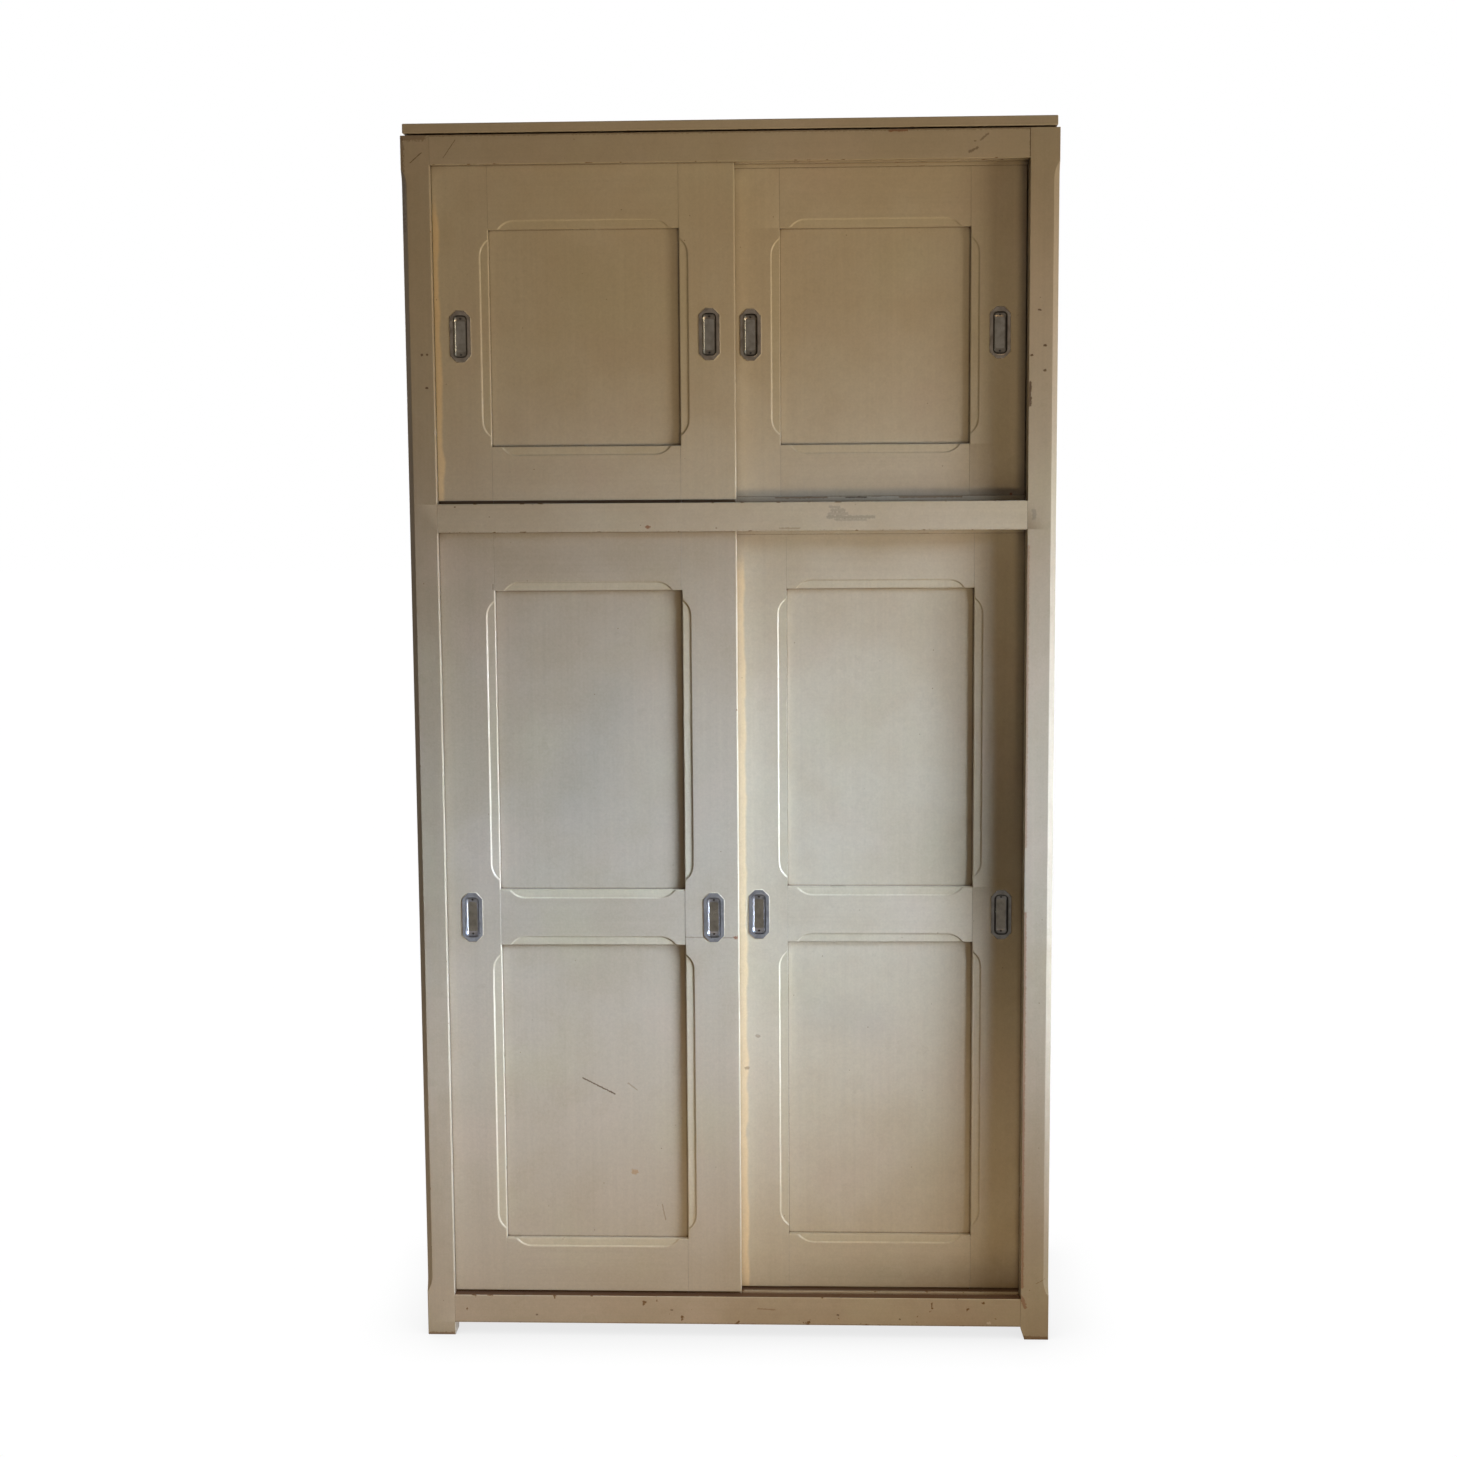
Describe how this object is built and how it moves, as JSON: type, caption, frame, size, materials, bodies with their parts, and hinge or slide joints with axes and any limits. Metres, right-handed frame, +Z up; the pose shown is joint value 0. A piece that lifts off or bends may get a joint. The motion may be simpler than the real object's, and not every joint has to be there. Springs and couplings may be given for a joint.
{
  "type": "sliding door cabinet",
  "caption": "Tall painted wooden cupboard with two tiers of sliding frame-and-panel doors running in grooved rails, with flush metal pulls, corner posts and a shelved inside",
  "frame": {"origin": "on the floor, below the middle of the case", "axes": "+Z up, +X to the right of someone facing the doors, +Y from the doors to the back"},
  "size_m": [1.15, 0.5, 2.2023],
  "materials": {
    "cream_paint": "old cream enamel paint brushed on wood, half gloss, worn at the edges",
    "bare_wood": "unpainted softwood boards, darkened with age",
    "plywood": "unpainted plywood sheet",
    "pull_metal": "pressed metal, dull and scuffed"
  },
  "bodies": {
    "case": {"front_left_post": "cream_paint", "front_right_post": "cream_paint", "rear_left_post": "cream_paint", "rear_right_post": "cream_paint", "bottom_front_rail": "cream_paint", "middle_front_rail": "cream_paint", "top_front_rail": "cream_paint", "bottom_rear_track": "cream_paint", "middle_rear_track": "cream_paint", "top_rear_track": "cream_paint", "left_bottom_side_rail": "cream_paint", "left_middle_side_rail": "cream_paint", "left_top_side_rail": "cream_paint", "right_bottom_side_rail": "cream_paint", "right_middle_side_rail": "cream_paint", "right_top_side_rail": "cream_paint", "left_lower_side_panel": "cream_paint", "left_upper_side_panel": "cream_paint", "right_lower_side_panel": "cream_paint", "right_upper_side_panel": "cream_paint", "back_panel": "plywood", "top_board": "cream_paint", "bottom_board": "bare_wood", "middle_deck": "bare_wood", "shelf": "bare_wood", "left_shelf_cleat": "bare_wood", "right_shelf_cleat": "bare_wood"},
    "upper_left_door": {"upper_left_door_left_stile": "cream_paint", "upper_left_door_right_stile": "cream_paint", "upper_left_door_bottom_rail": "cream_paint", "upper_left_door_top_rail": "cream_paint", "upper_left_door_panel": "cream_paint", "upper_left_door_left_pull": "pull_metal", "upper_left_door_right_pull": "pull_metal"},
    "upper_right_door": {"upper_right_door_left_stile": "cream_paint", "upper_right_door_right_stile": "cream_paint", "upper_right_door_bottom_rail": "cream_paint", "upper_right_door_top_rail": "cream_paint", "upper_right_door_panel": "cream_paint", "upper_right_door_left_pull": "pull_metal", "upper_right_door_right_pull": "pull_metal"},
    "lower_left_door": {"lower_left_door_left_stile": "cream_paint", "lower_left_door_right_stile": "cream_paint", "lower_left_door_bottom_rail": "cream_paint", "lower_left_door_lock_rail": "cream_paint", "lower_left_door_top_rail": "cream_paint", "lower_left_door_lower_panel": "cream_paint", "lower_left_door_upper_panel": "cream_paint", "lower_left_door_left_pull": "pull_metal", "lower_left_door_right_pull": "pull_metal"},
    "lower_right_door": {"lower_right_door_left_stile": "cream_paint", "lower_right_door_right_stile": "cream_paint", "lower_right_door_bottom_rail": "cream_paint", "lower_right_door_lock_rail": "cream_paint", "lower_right_door_top_rail": "cream_paint", "lower_right_door_lower_panel": "cream_paint", "lower_right_door_upper_panel": "cream_paint", "lower_right_door_left_pull": "pull_metal", "lower_right_door_right_pull": "pull_metal"}
  },
  "joints": [
    {"name": "upper_left_door_slide", "type": "slide", "parent": "case", "child": "upper_left_door", "axis": [1, 0, 0], "range_m": [0, 0.5147]},
    {"name": "upper_right_door_slide", "type": "slide", "parent": "case", "child": "upper_right_door", "axis": [1, 0, 0], "range_m": [-0.5218, 0.0095]},
    {"name": "lower_left_door_slide", "type": "slide", "parent": "case", "child": "lower_left_door", "axis": [1, 0, 0], "range_m": [0, 0.5147]},
    {"name": "lower_right_door_slide", "type": "slide", "parent": "case", "child": "lower_right_door", "axis": [1, 0, 0], "range_m": [-0.5313, 0]}
  ]
}
